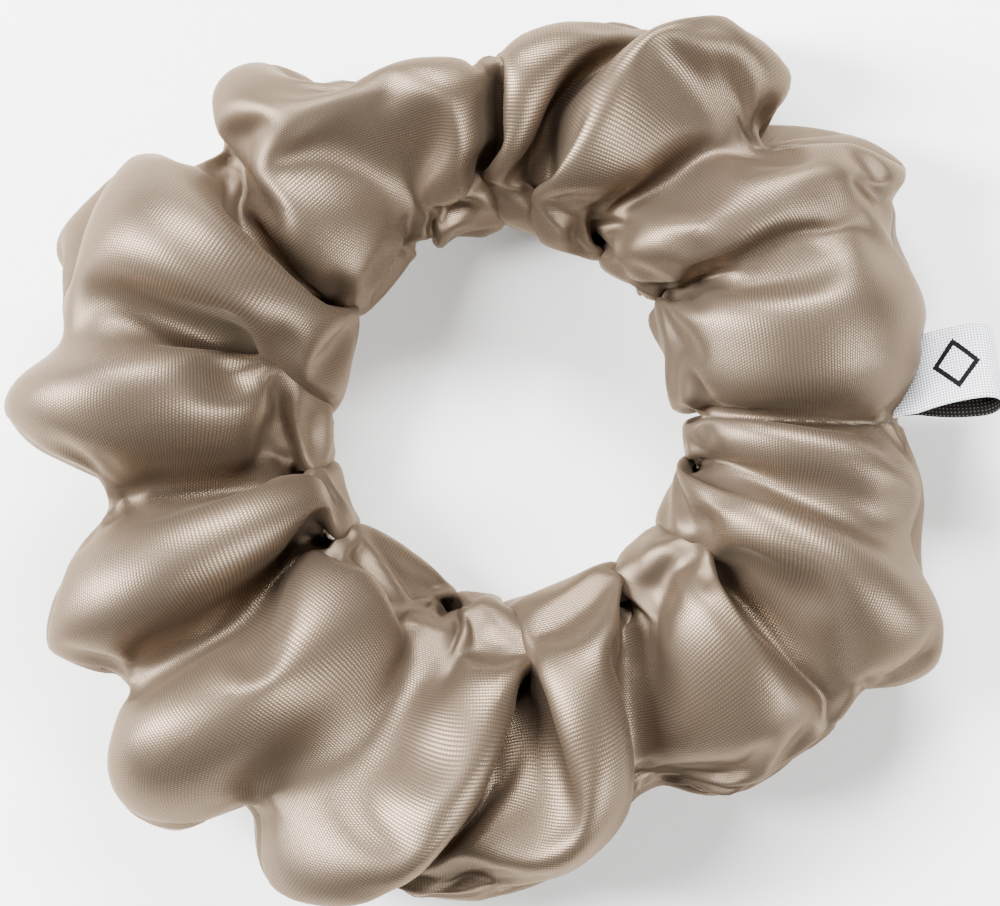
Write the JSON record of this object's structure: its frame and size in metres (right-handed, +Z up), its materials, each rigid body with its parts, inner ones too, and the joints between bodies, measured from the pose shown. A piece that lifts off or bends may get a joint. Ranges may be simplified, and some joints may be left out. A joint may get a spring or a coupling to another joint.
{
  "type": "scrunchie",
  "caption": "Ruffled satin hair scrunchie: a gathered fabric tube on a hidden elastic loop, with a small folded woven label at its closing seam.",
  "frame": {"origin": "centre of the opening, on the plane that the scrunchie lies on", "axes": "+Z up through the opening; +X from the centre towards the closing seam and the woven label"},
  "size_m": [0.1185, 0.1045, 0.029],
  "materials": {
    "satin": "satin",
    "satin_thread": "matte",
    "elastic": "matte",
    "elastic_thread": "matte",
    "ribbon": "matte"
  },
  "bodies": {
    "seam_end": {"cover_start": "satin", "long_seam_thread": "satin_thread", "closing_seam_thread": "satin_thread", "elastic_band": "elastic", "elastic_join_stitch": "elastic_thread", "label_tail": "ribbon"},
    "section_1": {"cover_section_1": "satin"},
    "section_2": {"cover_section_2": "satin"},
    "section_3": {"cover_section_3": "satin"},
    "section_4": {"cover_section_4": "satin"},
    "section_5": {"cover_section_5": "satin"},
    "section_6": {"cover_section_6": "satin"},
    "section_7": {"cover_section_7": "satin"},
    "far_end": {"cover_end": "satin"},
    "label": {"woven_label": "ribbon"}
  },
  "joints": [
    {"name": "stretch_1", "type": "slide", "parent": "seam_end", "child": "section_1", "axis": [-0.3827, 0.9239, 0], "range_m": [0, 0.016], "stiffness_N_per_m": 180, "deforming": ["elastic_band", "long_seam_thread"]},
    {"name": "stretch_2", "type": "slide", "parent": "section_1", "child": "section_2", "axis": [-0.9239, 0.3827, 0], "range_m": [0, 0.016], "stiffness_N_per_m": 180},
    {"name": "stretch_3", "type": "slide", "parent": "section_2", "child": "section_3", "axis": [-0.9239, -0.3827, 0], "range_m": [0, 0.016], "stiffness_N_per_m": 180},
    {"name": "stretch_4", "type": "slide", "parent": "section_3", "child": "section_4", "axis": [-0.3827, -0.9239, 0], "range_m": [0, 0.016], "stiffness_N_per_m": 180},
    {"name": "stretch_5", "type": "slide", "parent": "section_4", "child": "section_5", "axis": [0.3827, -0.9239, 0], "range_m": [0, 0.016], "stiffness_N_per_m": 180},
    {"name": "stretch_6", "type": "slide", "parent": "section_5", "child": "section_6", "axis": [0.9239, -0.3827, 0], "range_m": [0, 0.016], "stiffness_N_per_m": 180},
    {"name": "stretch_7", "type": "slide", "parent": "section_6", "child": "section_7", "axis": [0.9239, 0.3827, 0], "range_m": [0, 0.016], "stiffness_N_per_m": 180},
    {"name": "stretch_8", "type": "slide", "parent": "section_7", "child": "far_end", "axis": [0.3827, 0.9239, 0], "range_m": [0, 0.016], "stiffness_N_per_m": 180},
    {"name": "label_fold", "type": "hinge", "parent": "seam_end", "child": "label", "pos_m": [0.04923, 0.0057, 0.01186], "axis": [-0.1013, 0.8755, -0.4725], "range_deg": [-60, 60], "stiffness_Nm_per_rad": 0.0002}
  ],
  "couplings": [
    {"joint": "stretch_2", "follows": "stretch_1", "ratio": 1},
    {"joint": "stretch_3", "follows": "stretch_1", "ratio": 1},
    {"joint": "stretch_4", "follows": "stretch_1", "ratio": 1},
    {"joint": "stretch_5", "follows": "stretch_1", "ratio": 1},
    {"joint": "stretch_6", "follows": "stretch_1", "ratio": 1},
    {"joint": "stretch_7", "follows": "stretch_1", "ratio": 1},
    {"joint": "stretch_8", "follows": "stretch_1", "ratio": 1}
  ]
}
